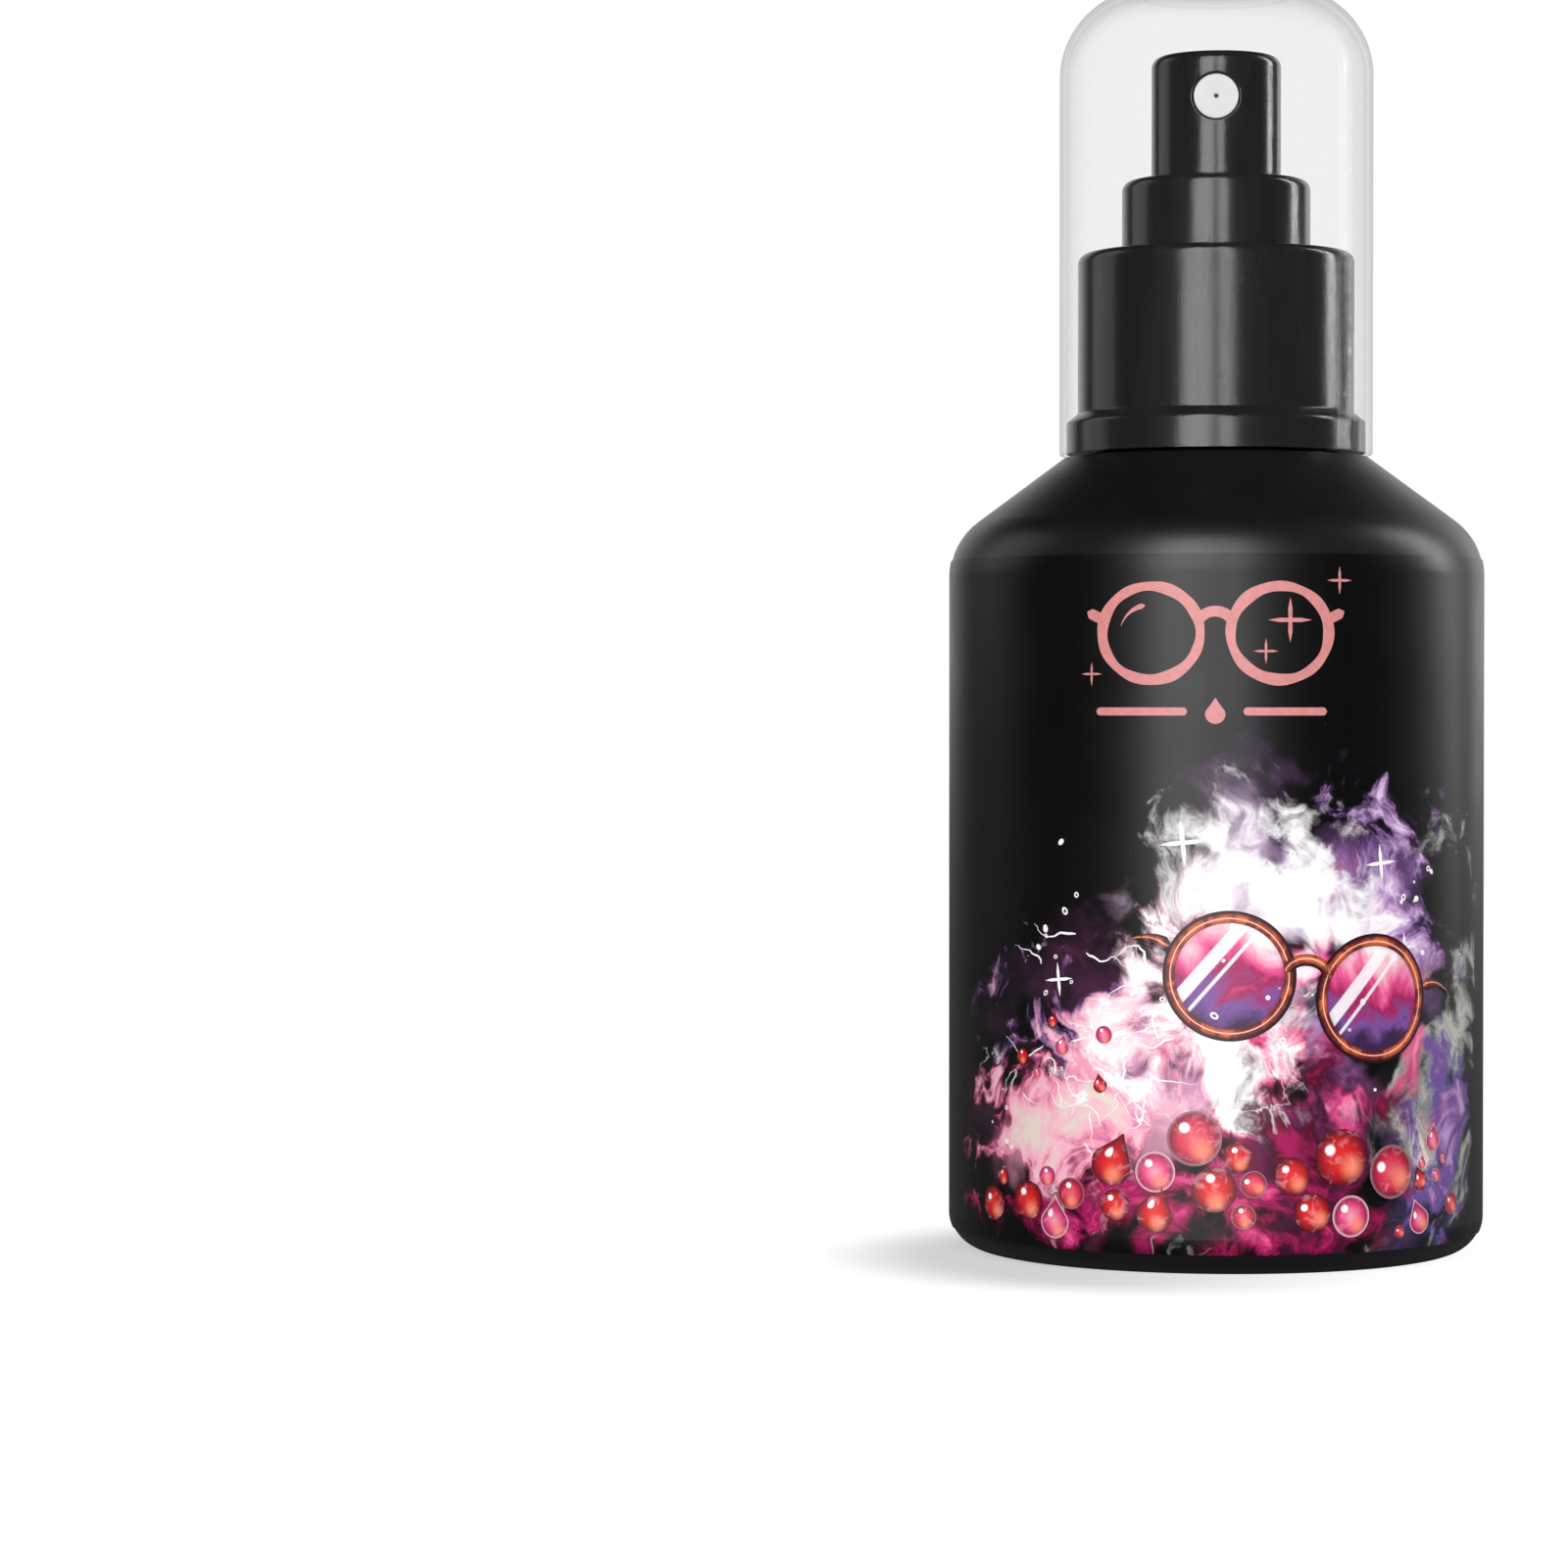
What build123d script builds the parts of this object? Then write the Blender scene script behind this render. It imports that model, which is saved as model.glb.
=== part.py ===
"""Lens cleaning spray: a round bottle with a fine-mist pump and a clear overcap.

Millimetres. The origin is the centre of the bottle's foot, +Z is up, and the nozzle faces -Y.
"""

from build123d import *
import math
import os

# ---------------------------------------------------------------- driving dimensions

# Bottle body
BODY_R = 26.0
WALL = 1.1
HEEL_R = 3.56
FOOT_RING_R = 17.0
PUSH_UP = 2.0
PUSH_UP_R = (FOOT_RING_R**2 + PUSH_UP**2) / (2 * PUSH_UP)
CONE_SLOPE = 36.5
CONE_TOP_R = 14.8
DECK_Z = 77.52
SHOULDER_R = 6.6

# Bottle neck, a 24 mm screw finish
NECK_R = 10.8
NECK_BORE_R = 8.5
NECK_TOP_Z = 93.98
THREAD_PITCH = 3.175
THREAD_CREST_R = 11.9
THREAD_START_Z = 86.6
THREAD_TURNS = 1.5
THREAD_SINK = 0.15
RIDGE_ROOT_W = 1.5
RIDGE_CREST_W = 0.7
NECK_ROOT_R = 0.6
NECK_LIP_R = 0.5

# Printed sleeve
SLEEVE_T = 0.12
SLEEVE_FOOT_Z = 2.1
SLEEVE_TOP_Z = 67.4

# Closure
FLANGE_R = 14.6
FLANGE_TOP_Z = 81.85
FLANGE_WALL_TOP_Z = 80.95
FLANGE_EDGE_R = 0.4
FLANGE_ROOT_R = 0.3
CLOSURE_FOOT_Z = 77.9
SKIRT_R = 13.5
CLOSURE_BORE_R = 12.2
CLOSURE_THREAD_R = 11.15
CLOSURE_TOP_Z = 97.5
CLOSURE_ROOF_T = 1.3
CLOSURE_HOLE_R = 8.25
CLOSURE_EDGE_R = 1.0
CLOSURE_MOUTH_CHAMFER = 0.3

# Turret
TURRET_R = 9.2
TURRET_FOOT_Z = 97.6
TURRET_TOP_Z = 104.6
WELL_R = 6.57
WELL_FLOOR_Z = 98.2
TURRET_SKIRT_R = 8.0
TURRET_SKIRT_FOOT_Z = 96.2
TURRET_EDGE_R = 1.0
WELL_EDGE_R = 0.2

# Pump housing
HOUSING_FLANGE_R = 10.6
HOUSING_FLANGE_Z = 95.0
HOUSING_FLANGE_T = 1.1
HOUSING_R = 4.0
HOUSING_RIM_R = 6.5
HOUSING_RIM_Z = 97.1
CYLINDER_R = 3.15
CYLINDER_FOOT_Z = 75.1
BALL_CHAMBER_R = 1.9
BALL_SEAT_Z = 72.2
BALL_SEAT_H = 1.4
INLET_R = 0.9
SOCKET_R = 1.92
SOCKET_FOOT_Z = 63.5
SOCKET_TOP_Z = 71.4
SOCKET_WALL_R = 3.2
SEAL_SEAT_R = 5.05
SEAL_T = 0.8
SEAL_GAP = 0.05
STEM_HOLE_R = 2.0
GASKET_GAP = 0.02
GASKET_BORE_R = 8.2
PRESS_GAP = 0.02
VENT_Z = 93.3
VENT_R = 0.4

# Valve parts
BALL_R = 1.5
BALL_CENTRE_Z = 73.55
RETAINER_T = 1.6
RETAINER_HOLE_R = 1.3
RETAINER_BOSS_R = 1.7
RETAINER_BOSS_H = 1.2
RETAINER_SLOTS = 3
RETAINER_SLOT_L = 2.5
RETAINER_SLOT_W = 0.8

# Stem, valve rod and piston
STEM_R = 1.7
STEM_BORE_R = 0.85
STEM_FOOT_Z = 88.4
STEM_TOP_Z = 111.3
STEM_SHOULDER_R = 2.7
STEM_SHOULDER_Z = 95.5
STEM_SHOULDER_T = 0.6
PORT_Z = 89.6
PORT_R = 0.4
ROD_HEAD_R = 2.5
ROD_HEAD_T = 1.2
ROD_GUIDE_R = 1.6
ROD_GUIDE_H = 1.4
PISTON_R = 3.1
PISTON_FOOT_Z = 88.45
PISTON_H = 4.1
PISTON_HUB_R = 2.3
PISTON_WEB_Z = 1.3
PISTON_LIP_BORE_R = 2.7
PISTON_WAIST = 0.3

# Springs
RETURN_WIRE_R = 0.3
RETURN_COIL_R = 2.2
RETURN_TURNS = 6.5
PISTON_WIRE_R = 0.18
PISTON_COIL_R = 2.2
PISTON_SPRING_TURNS = 4

# Dip tube
TUBE_R = 1.9
TUBE_BORE_R = 1.3
TUBE_FOOT_Z = 5.2
TUBE_NOTCH_H = 2.4

# Actuator and nozzle
BUTTON_R = 6.32
BUTTON_TOP_Z = 116.9
BUTTON_FOOT_Z = 104.0
BUTTON_EDGE_R = 1.1
BUTTON_CROWN = 0.25
BUTTON_CROWN_R = (BUTTON_R**2 + BUTTON_CROWN**2) / (2 * BUTTON_CROWN)
BUTTON_WALL = 1.0
BUTTON_ROOF_Z = 109.1
BOSS_R = 2.9
BOSS_FOOT_Z = 104.7
NOZZLE_Z = 112.22
NOZZLE_R = 2.17
NOZZLE_RECESS_R = 2.28
RECESS_EDGE_R = 0.12
NOZZLE_FACE_Y = -6.05
NOZZLE_DEPTH = 2.6
SWIRL_POST_R = 1.15
SWIRL_GAP = 0.15
ORIFICE_R = 0.15
NOZZLE_FACE_T = 0.6
DISH_R = 0.32
DISH_TAPER = 45
NOZZLE_EDGE_R = 0.12
NOZZLE_BACK_Y = NOZZLE_FACE_Y + NOZZLE_DEPTH
FEED_R = 0.5
FEED_OFFSET = 1.6

# Overcap
CAP_R = 15.3
CAP_WALL = 0.62
CAP_FOOT_Z = 77.75
CAP_TOP_Z = 123.3
CAP_ROOF_T = 0.8
CAP_CORNER_R = 8.6
CAP_LIP_R = 0.2

# ---------------------------------------------------------------- shared geometry

SLOPE = math.tan(math.radians(CONE_SLOPE))
NEAR = 0.01
OVERCUT = 0.1


def cone_height(radius, grow=0.0):
    """Height of the shoulder's cone at a radius, with the cone moved outward by grow."""
    return DECK_Z + (CONE_TOP_R - radius) * SLOPE + grow / math.cos(math.radians(CONE_SLOPE))


def corners_at(sketch, radius):
    """Corners of a half outline at a radius, lowest first."""
    return sketch.vertices().filter_by_position(Axis.X, radius - NEAR, radius + NEAR).sort_by(Axis.Y)


def body_outline(grow):
    """Half outline of the bottle's body, coned shoulder included, moved outward by grow."""
    edge = BODY_R + grow
    with BuildSketch(mode=Mode.PRIVATE) as outline:
        Polygon(
            (0, -grow),
            (edge, -grow),
            (edge, cone_height(edge, grow)),
            (0, cone_height(0, grow)),
            align=None,
        )
        fillet(corners_at(outline, edge)[0], HEEL_R + grow)
        fillet(corners_at(outline, edge)[-1], SHOULDER_R + grow)
    return outline.sketch


def helix_sweep(path, corners=None, wire_r=None):
    """Sweep a polygon (offsets from the helix, outward and up) or a round wire along a helix."""
    start = Plane(origin=path @ 0, x_dir=(1, 0, 0), z_dir=path % 0)
    with BuildSketch(start, mode=Mode.PRIVATE) as section:
        if corners:
            Polygon(*corners, align=None)
        else:
            Circle(wire_r)
    sweep(sections=section.sketch, path=path, is_frenet=True)


def thread_ridge(root_r, crest_r, start_z):
    """Trapezoidal ridge of the screw thread, added to the part being built."""
    with BuildLine(mode=Mode.PRIVATE) as path:
        Helix(THREAD_PITCH, THREAD_TURNS * THREAD_PITCH, root_r, center=(0, 0, start_z))
    corners = (
        (0, -RIDGE_ROOT_W / 2),
        (crest_r - root_r, -RIDGE_CREST_W / 2),
        (crest_r - root_r, RIDGE_CREST_W / 2),
        (0, RIDGE_ROOT_W / 2),
    )
    helix_sweep(path.line.edge(), corners=corners)


def coil(mean_r, wire_r, low_z, high_z, turns):
    """Compression spring between two seats, added to the part being built."""
    rise = high_z - low_z - 2 * wire_r
    with BuildLine(mode=Mode.PRIVATE) as path:
        Helix(rise / turns, rise, mean_r, center=(0, 0, low_z + wire_r))
    helix_sweep(path.line.edge(), wire_r=wire_r)


def save(builder, name):
    """Label a finished piece and write its STEP file."""
    builder.part.label = name
    export_step(builder.part, f"parts/{name}.step")


os.makedirs("parts", exist_ok=True)

# ---------------------------------------------------------------- bottle

with BuildPart() as bottle:
    with BuildSketch(Plane.XZ) as outer:
        add(body_outline(0))
        Rectangle(2 * BODY_R, DECK_Z, align=(Align.MIN, Align.MIN), mode=Mode.INTERSECT)
        with Locations((0, DECK_Z - WALL)):
            Rectangle(NECK_R, NECK_TOP_Z - DECK_Z + WALL, align=(Align.MIN, Align.MIN))
        fillet(corners_at(outer, NECK_R)[0], NECK_ROOT_R)
        fillet(corners_at(outer, NECK_R)[-1], NECK_LIP_R)
        with BuildLine():
            RadiusArc((0, PUSH_UP), (FOOT_RING_R, 0), PUSH_UP_R)
            Polyline((FOOT_RING_R, 0), (FOOT_RING_R, -OVERCUT), (0, -OVERCUT), (0, PUSH_UP))
        make_face(mode=Mode.SUBTRACT)
    revolve(axis=Axis.Z)
    thread_ridge(NECK_R - THREAD_SINK, THREAD_CREST_R, THREAD_START_Z)
    with BuildSketch(Plane.XZ) as inner:
        add(body_outline(-WALL))
        Rectangle(2 * BODY_R, DECK_Z - WALL, align=(Align.MIN, Align.MIN), mode=Mode.INTERSECT)
        Rectangle(NECK_BORE_R, 2 * NECK_TOP_Z, align=(Align.MIN, Align.MIN))
        fillet(corners_at(inner, NECK_BORE_R)[-2], NECK_ROOT_R)
        with BuildLine():
            RadiusArc((0, PUSH_UP + WALL), (FOOT_RING_R, WALL), PUSH_UP_R)
            Polyline((FOOT_RING_R, WALL), (FOOT_RING_R, 0), (0, 0), (0, PUSH_UP + WALL))
        make_face(mode=Mode.SUBTRACT)
    revolve(axis=Axis.Z, mode=Mode.SUBTRACT)
save(bottle, "bottle")

# ---------------------------------------------------------------- printed sleeve

with BuildPart() as label_sleeve:
    with BuildSketch(Plane.XZ):
        add(body_outline(SLEEVE_T))
        add(body_outline(0), mode=Mode.SUBTRACT)
        with Locations((0, SLEEVE_FOOT_Z)):
            Rectangle(
                2 * BODY_R,
                SLEEVE_TOP_Z - SLEEVE_FOOT_Z,
                align=(Align.MIN, Align.MIN),
                mode=Mode.INTERSECT,
            )
    revolve(axis=Axis.Z)
save(label_sleeve, "label_sleeve")

# ---------------------------------------------------------------- closure

with BuildPart() as closure:
    with BuildSketch(Plane.XZ) as closure_outline:
        Polygon(
            (0, CLOSURE_FOOT_Z),
            (FLANGE_R, CLOSURE_FOOT_Z),
            (FLANGE_R, FLANGE_WALL_TOP_Z),
            (SKIRT_R, FLANGE_TOP_Z),
            (SKIRT_R, CLOSURE_TOP_Z),
            (0, CLOSURE_TOP_Z),
            align=None,
        )
        fillet(corners_at(closure_outline, FLANGE_R)[-1], FLANGE_EDGE_R)
        fillet(corners_at(closure_outline, SKIRT_R)[0], FLANGE_ROOT_R)
        fillet(corners_at(closure_outline, SKIRT_R)[-1], CLOSURE_EDGE_R)
    revolve(axis=Axis.Z)
    with BuildSketch(Plane.XY.offset(CLOSURE_FOOT_Z)):
        Circle(CLOSURE_BORE_R)
    extrude(amount=CLOSURE_TOP_Z - CLOSURE_ROOF_T - CLOSURE_FOOT_Z, mode=Mode.SUBTRACT)
    with BuildSketch(Plane.XY.offset(CLOSURE_TOP_Z)):
        Circle(CLOSURE_HOLE_R)
    extrude(amount=-2 * CLOSURE_ROOF_T, mode=Mode.SUBTRACT)
    bore_mouth = closure.edges().filter_by(GeomType.CIRCLE).group_by(Axis.Z)[0].sort_by(SortBy.RADIUS)[0]
    chamfer(bore_mouth, CLOSURE_MOUTH_CHAMFER)
    thread_ridge(CLOSURE_BORE_R + THREAD_SINK, CLOSURE_THREAD_R, THREAD_START_Z - THREAD_PITCH / 2)
save(closure, "closure")

# ---------------------------------------------------------------- turret

with BuildPart() as turret:
    with BuildSketch(Plane.XZ):
        Polygon(
            (STEM_HOLE_R, HOUSING_RIM_Z),
            (HOUSING_RIM_R, HOUSING_RIM_Z),
            (HOUSING_RIM_R, TURRET_SKIRT_FOOT_Z),
            (TURRET_SKIRT_R, TURRET_SKIRT_FOOT_Z),
            (TURRET_SKIRT_R, TURRET_FOOT_Z),
            (TURRET_R, TURRET_FOOT_Z),
            (TURRET_R, TURRET_TOP_Z),
            (WELL_R, TURRET_TOP_Z),
            (WELL_R, WELL_FLOOR_Z),
            (STEM_HOLE_R, WELL_FLOOR_Z),
            align=None,
        )
    revolve(axis=Axis.Z)
    top_rims = turret.edges().filter_by(GeomType.CIRCLE).group_by(Axis.Z)[-1].sort_by(SortBy.RADIUS)
    fillet(top_rims[-1], TURRET_EDGE_R)
    fillet(top_rims[0], WELL_EDGE_R)
save(turret, "turret")

# ---------------------------------------------------------------- pump housing

with BuildPart() as pump_housing:
    with BuildSketch(Plane.XZ):
        Polygon(
            (CYLINDER_R, CYLINDER_FOOT_Z),
            (BALL_CHAMBER_R, CYLINDER_FOOT_Z),
            (BALL_CHAMBER_R, BALL_SEAT_Z + BALL_SEAT_H),
            (INLET_R, BALL_SEAT_Z),
            (INLET_R, SOCKET_TOP_Z),
            (SOCKET_R, SOCKET_TOP_Z),
            (SOCKET_R, SOCKET_FOOT_Z),
            (SOCKET_WALL_R, SOCKET_FOOT_Z),
            (SOCKET_WALL_R, BALL_SEAT_Z),
            (HOUSING_R, CYLINDER_FOOT_Z),
            (HOUSING_R, HOUSING_FLANGE_Z),
            (HOUSING_FLANGE_R, HOUSING_FLANGE_Z),
            (HOUSING_FLANGE_R, HOUSING_FLANGE_Z + HOUSING_FLANGE_T),
            (HOUSING_RIM_R, HOUSING_FLANGE_Z + HOUSING_FLANGE_T),
            (HOUSING_RIM_R, HOUSING_RIM_Z),
            (SEAL_SEAT_R, HOUSING_RIM_Z),
            (SEAL_SEAT_R, HOUSING_RIM_Z - SEAL_T),
            (CYLINDER_R, HOUSING_RIM_Z - SEAL_T),
            align=None,
        )
    revolve(axis=Axis.Z)
    with Locations(Plane(origin=(0, 0, VENT_Z), z_dir=(1, 0, 0))):
        Cylinder(VENT_R, 2 * HOUSING_R, align=(Align.CENTER, Align.CENTER, Align.MIN), mode=Mode.SUBTRACT)
save(pump_housing, "pump_housing")

# ---------------------------------------------------------------- seals

with BuildPart() as neck_gasket:
    with BuildSketch(Plane.XY.offset(NECK_TOP_Z + GASKET_GAP)):
        Circle(HOUSING_FLANGE_R)
        Circle(GASKET_BORE_R, mode=Mode.SUBTRACT)
    extrude(amount=HOUSING_FLANGE_Z - NECK_TOP_Z - GASKET_GAP)
save(neck_gasket, "neck_gasket")

with BuildPart() as stem_seal:
    with BuildSketch(Plane.XZ):
        Polygon(
            (STEM_R + SEAL_GAP, HOUSING_RIM_Z - SEAL_T / 2),
            (STEM_R + 2 * SEAL_GAP + SEAL_T / 2, HOUSING_RIM_Z - SEAL_T),
            (SEAL_SEAT_R, HOUSING_RIM_Z - SEAL_T),
            (SEAL_SEAT_R, HOUSING_RIM_Z),
            (STEM_R + 2 * SEAL_GAP + SEAL_T / 2, HOUSING_RIM_Z),
            align=None,
        )
    revolve(axis=Axis.Z)
save(stem_seal, "stem_seal")

# ---------------------------------------------------------------- inlet valve

with BuildPart() as ball_retainer:
    with BuildSketch(Plane.XY.offset(CYLINDER_FOOT_Z)):
        Circle(CYLINDER_R)
    extrude(amount=RETAINER_T)
    with BuildSketch(Plane.XY.offset(CYLINDER_FOOT_Z + RETAINER_T)):
        Circle(RETAINER_BOSS_R)
    extrude(amount=RETAINER_BOSS_H)
    with Locations((0, 0, CYLINDER_FOOT_Z + RETAINER_T + RETAINER_BOSS_H)):
        Hole(RETAINER_HOLE_R)
    with BuildSketch(Plane.XY.offset(CYLINDER_FOOT_Z)):
        with PolarLocations(0, RETAINER_SLOTS):
            Rectangle(RETAINER_SLOT_L, RETAINER_SLOT_W, align=(Align.MIN, Align.CENTER))
    extrude(amount=RETAINER_T / 2, mode=Mode.SUBTRACT)
save(ball_retainer, "ball_retainer")

with BuildPart() as inlet_ball:
    with Locations((0, 0, BALL_CENTRE_Z)):
        Sphere(BALL_R)
save(inlet_ball, "inlet_ball")

# ---------------------------------------------------------------- dip tube, notched at its foot

with BuildPart() as dip_tube:
    with BuildSketch(Plane.XY.offset(TUBE_FOOT_Z)):
        Circle(TUBE_R)
        Circle(TUBE_BORE_R, mode=Mode.SUBTRACT)
    extrude(amount=SOCKET_TOP_Z - TUBE_FOOT_Z)
    with BuildSketch(Plane.XZ):
        Polygon(
            (-TUBE_R, TUBE_FOOT_Z),
            (TUBE_R, TUBE_FOOT_Z),
            (0, TUBE_FOOT_Z + TUBE_NOTCH_H),
            align=None,
        )
    extrude(amount=2 * TUBE_R, both=True, mode=Mode.SUBTRACT)
save(dip_tube, "dip_tube")

# ---------------------------------------------------------------- stem and valve rod

with BuildPart() as stem:
    with BuildSketch(Plane.XZ):
        Polygon(
            (STEM_BORE_R, STEM_FOOT_Z),
            (STEM_R, STEM_FOOT_Z),
            (STEM_R, STEM_SHOULDER_Z),
            (STEM_SHOULDER_R, STEM_SHOULDER_Z),
            (STEM_SHOULDER_R, STEM_SHOULDER_Z + STEM_SHOULDER_T),
            (STEM_R, STEM_SHOULDER_Z + STEM_SHOULDER_T),
            (STEM_R, STEM_TOP_Z),
            (STEM_BORE_R, STEM_TOP_Z),
            align=None,
        )
    revolve(axis=Axis.Z)
    with Locations(Plane(origin=(0, 0, PORT_Z), z_dir=(1, 0, 0))):
        Cylinder(PORT_R, 4 * STEM_R, mode=Mode.SUBTRACT)
save(stem, "stem")

with BuildPart() as valve_rod:
    with BuildSketch(Plane.XZ):
        Polygon(
            (0, STEM_FOOT_Z - ROD_HEAD_T - ROD_GUIDE_H),
            (ROD_GUIDE_R, STEM_FOOT_Z - ROD_HEAD_T - ROD_GUIDE_H),
            (ROD_GUIDE_R, STEM_FOOT_Z - ROD_HEAD_T),
            (ROD_HEAD_R, STEM_FOOT_Z - ROD_HEAD_T),
            (ROD_HEAD_R, STEM_FOOT_Z),
            (STEM_BORE_R, STEM_FOOT_Z),
            (STEM_BORE_R, PORT_Z - PORT_R),
            (0, PORT_Z - PORT_R),
            align=None,
        )
    revolve(axis=Axis.Z)
save(valve_rod, "valve_rod")

# ---------------------------------------------------------------- piston, with a lip at each end

with BuildPart() as piston:
    with BuildSketch(Plane.XZ):
        Polygon(
            (STEM_R + SEAL_GAP, PISTON_FOOT_Z),
            (PISTON_HUB_R, PISTON_FOOT_Z),
            (PISTON_HUB_R, PISTON_FOOT_Z + PISTON_WEB_Z),
            (PISTON_LIP_BORE_R, PISTON_FOOT_Z),
            (PISTON_R, PISTON_FOOT_Z),
            (PISTON_R - PISTON_WAIST, PISTON_FOOT_Z + PISTON_H / 2),
            (PISTON_R, PISTON_FOOT_Z + PISTON_H),
            (PISTON_LIP_BORE_R, PISTON_FOOT_Z + PISTON_H),
            (PISTON_HUB_R, PISTON_FOOT_Z + PISTON_H - PISTON_WEB_Z),
            (PISTON_HUB_R, PISTON_FOOT_Z + PISTON_H),
            (STEM_R + SEAL_GAP, PISTON_FOOT_Z + PISTON_H),
            align=None,
        )
    revolve(axis=Axis.Z)
save(piston, "piston")

# ---------------------------------------------------------------- springs

with BuildPart() as return_spring:
    coil(
        RETURN_COIL_R,
        RETURN_WIRE_R,
        CYLINDER_FOOT_Z + RETAINER_T,
        STEM_FOOT_Z - ROD_HEAD_T,
        RETURN_TURNS,
    )
save(return_spring, "return_spring")

with BuildPart() as piston_spring:
    coil(
        PISTON_COIL_R,
        PISTON_WIRE_R,
        PISTON_FOOT_Z + PISTON_H,
        STEM_SHOULDER_Z,
        PISTON_SPRING_TURNS,
    )
save(piston_spring, "piston_spring")

# ---------------------------------------------------------------- actuator

with BuildPart() as actuator:
    with BuildSketch(Plane.XZ) as button_outline:
        with BuildLine():
            RadiusArc((0, BUTTON_TOP_Z), (BUTTON_R, BUTTON_TOP_Z - BUTTON_CROWN), BUTTON_CROWN_R)
            Polyline(
                (BUTTON_R, BUTTON_TOP_Z - BUTTON_CROWN),
                (BUTTON_R, BUTTON_FOOT_Z),
                (0, BUTTON_FOOT_Z),
                (0, BUTTON_TOP_Z),
            )
        make_face()
        fillet(button_outline.vertices().group_by(Axis.X)[-1].sort_by(Axis.Y)[-1], BUTTON_EDGE_R)
    revolve(axis=Axis.Z)
    with BuildSketch(Plane.XY.offset(BUTTON_FOOT_Z)):
        Circle(BUTTON_R - BUTTON_WALL)
        Circle(BOSS_R, mode=Mode.SUBTRACT)
    extrude(amount=BUTTON_ROOF_Z - BUTTON_FOOT_Z, mode=Mode.SUBTRACT)
    with BuildSketch(Plane.XY.offset(BUTTON_FOOT_Z)):
        Circle(BOSS_R)
    extrude(amount=BOSS_FOOT_Z - BUTTON_FOOT_Z, mode=Mode.SUBTRACT)
    with BuildSketch(Plane.XY.offset(BOSS_FOOT_Z)):
        Circle(STEM_R + PRESS_GAP)
    extrude(amount=STEM_TOP_Z - BOSS_FOOT_Z, mode=Mode.SUBTRACT)
    with BuildSketch(Plane.XY.offset(STEM_TOP_Z)):
        Circle(STEM_BORE_R)
    extrude(amount=NOZZLE_Z + FEED_R - STEM_TOP_Z, mode=Mode.SUBTRACT)
    with BuildSketch(Plane.XZ.offset(-NOZZLE_BACK_Y)):
        with Locations((0, NOZZLE_Z)):
            Circle(NOZZLE_RECESS_R)
            Circle(SWIRL_POST_R, mode=Mode.SUBTRACT)
    extrude(amount=BUTTON_R, mode=Mode.SUBTRACT)
    with BuildSketch(Plane.XZ.offset(-NOZZLE_FACE_Y - NOZZLE_FACE_T - SWIRL_GAP)):
        with Locations((0, NOZZLE_Z)):
            Circle(NOZZLE_RECESS_R)
    extrude(amount=BUTTON_R, mode=Mode.SUBTRACT)
    recess_mouth = actuator.edges().filter_by(GeomType.BSPLINE).sort_by(Axis.Y)[0]
    fillet(recess_mouth, RECESS_EDGE_R)
    with BuildSketch(Plane.XZ):
        with Locations((0, NOZZLE_Z)):
            with GridLocations(2 * FEED_OFFSET, 0, 2, 1):
                Circle(FEED_R)
    extrude(amount=-NOZZLE_BACK_Y + OVERCUT, mode=Mode.SUBTRACT)
    with Locations((0, 0, NOZZLE_Z)):
        Box(2 * FEED_OFFSET, 2 * FEED_R, 2 * FEED_R, mode=Mode.SUBTRACT)
save(actuator, "actuator")

# ---------------------------------------------------------------- nozzle insert

with BuildPart() as nozzle_insert:
    with BuildSketch(Plane.XZ.offset(-NOZZLE_FACE_Y)):
        with Locations((0, NOZZLE_Z)):
            Circle(NOZZLE_R)
    extrude(amount=-NOZZLE_DEPTH)
    front_rim = nozzle_insert.edges().filter_by(GeomType.CIRCLE).sort_by(Axis.Y)[0]
    fillet(front_rim, NOZZLE_EDGE_R)
    with BuildSketch(Plane.XZ.offset(-NOZZLE_FACE_Y - NOZZLE_FACE_T)):
        with Locations((0, NOZZLE_Z)):
            Circle(SWIRL_POST_R + PRESS_GAP)
    extrude(amount=-NOZZLE_DEPTH, mode=Mode.SUBTRACT)
    with BuildSketch(Plane.XZ.offset(-NOZZLE_FACE_Y)):
        with Locations((0, NOZZLE_Z)):
            Circle(ORIFICE_R)
    extrude(amount=-NOZZLE_DEPTH, mode=Mode.SUBTRACT)
    with BuildSketch(Plane.XZ.offset(-NOZZLE_FACE_Y)):
        with Locations((0, NOZZLE_Z)):
            Circle(DISH_R)
    extrude(amount=-(DISH_R - ORIFICE_R), taper=DISH_TAPER, mode=Mode.SUBTRACT)
save(nozzle_insert, "nozzle_insert")

# ---------------------------------------------------------------- overcap

with BuildPart() as overcap:
    with BuildSketch(Plane.XY.offset(CAP_FOOT_Z)):
        Circle(CAP_R)
    extrude(amount=CAP_TOP_Z - CAP_FOOT_Z)
    fillet(overcap.edges().filter_by(GeomType.CIRCLE).sort_by(Axis.Z)[-1], CAP_CORNER_R)
    with BuildSketch(Plane.XZ) as cap_hollow:
        Rectangle(CAP_R - CAP_WALL, CAP_TOP_Z - CAP_ROOF_T, align=(Align.MIN, Align.MIN))
        hollow_corner = cap_hollow.vertices().sort_by(Axis.X).group_by(Axis.X)[-1].sort_by(Axis.Y)[-1]
        fillet(hollow_corner, CAP_CORNER_R - CAP_WALL)
    revolve(axis=Axis.Z, mode=Mode.SUBTRACT)
    foot_rims = overcap.edges().filter_by(GeomType.CIRCLE).group_by(Axis.Z)[0].sort_by(SortBy.RADIUS)
    fillet(foot_rims, CAP_LIP_R)
save(overcap, "overcap")
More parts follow.
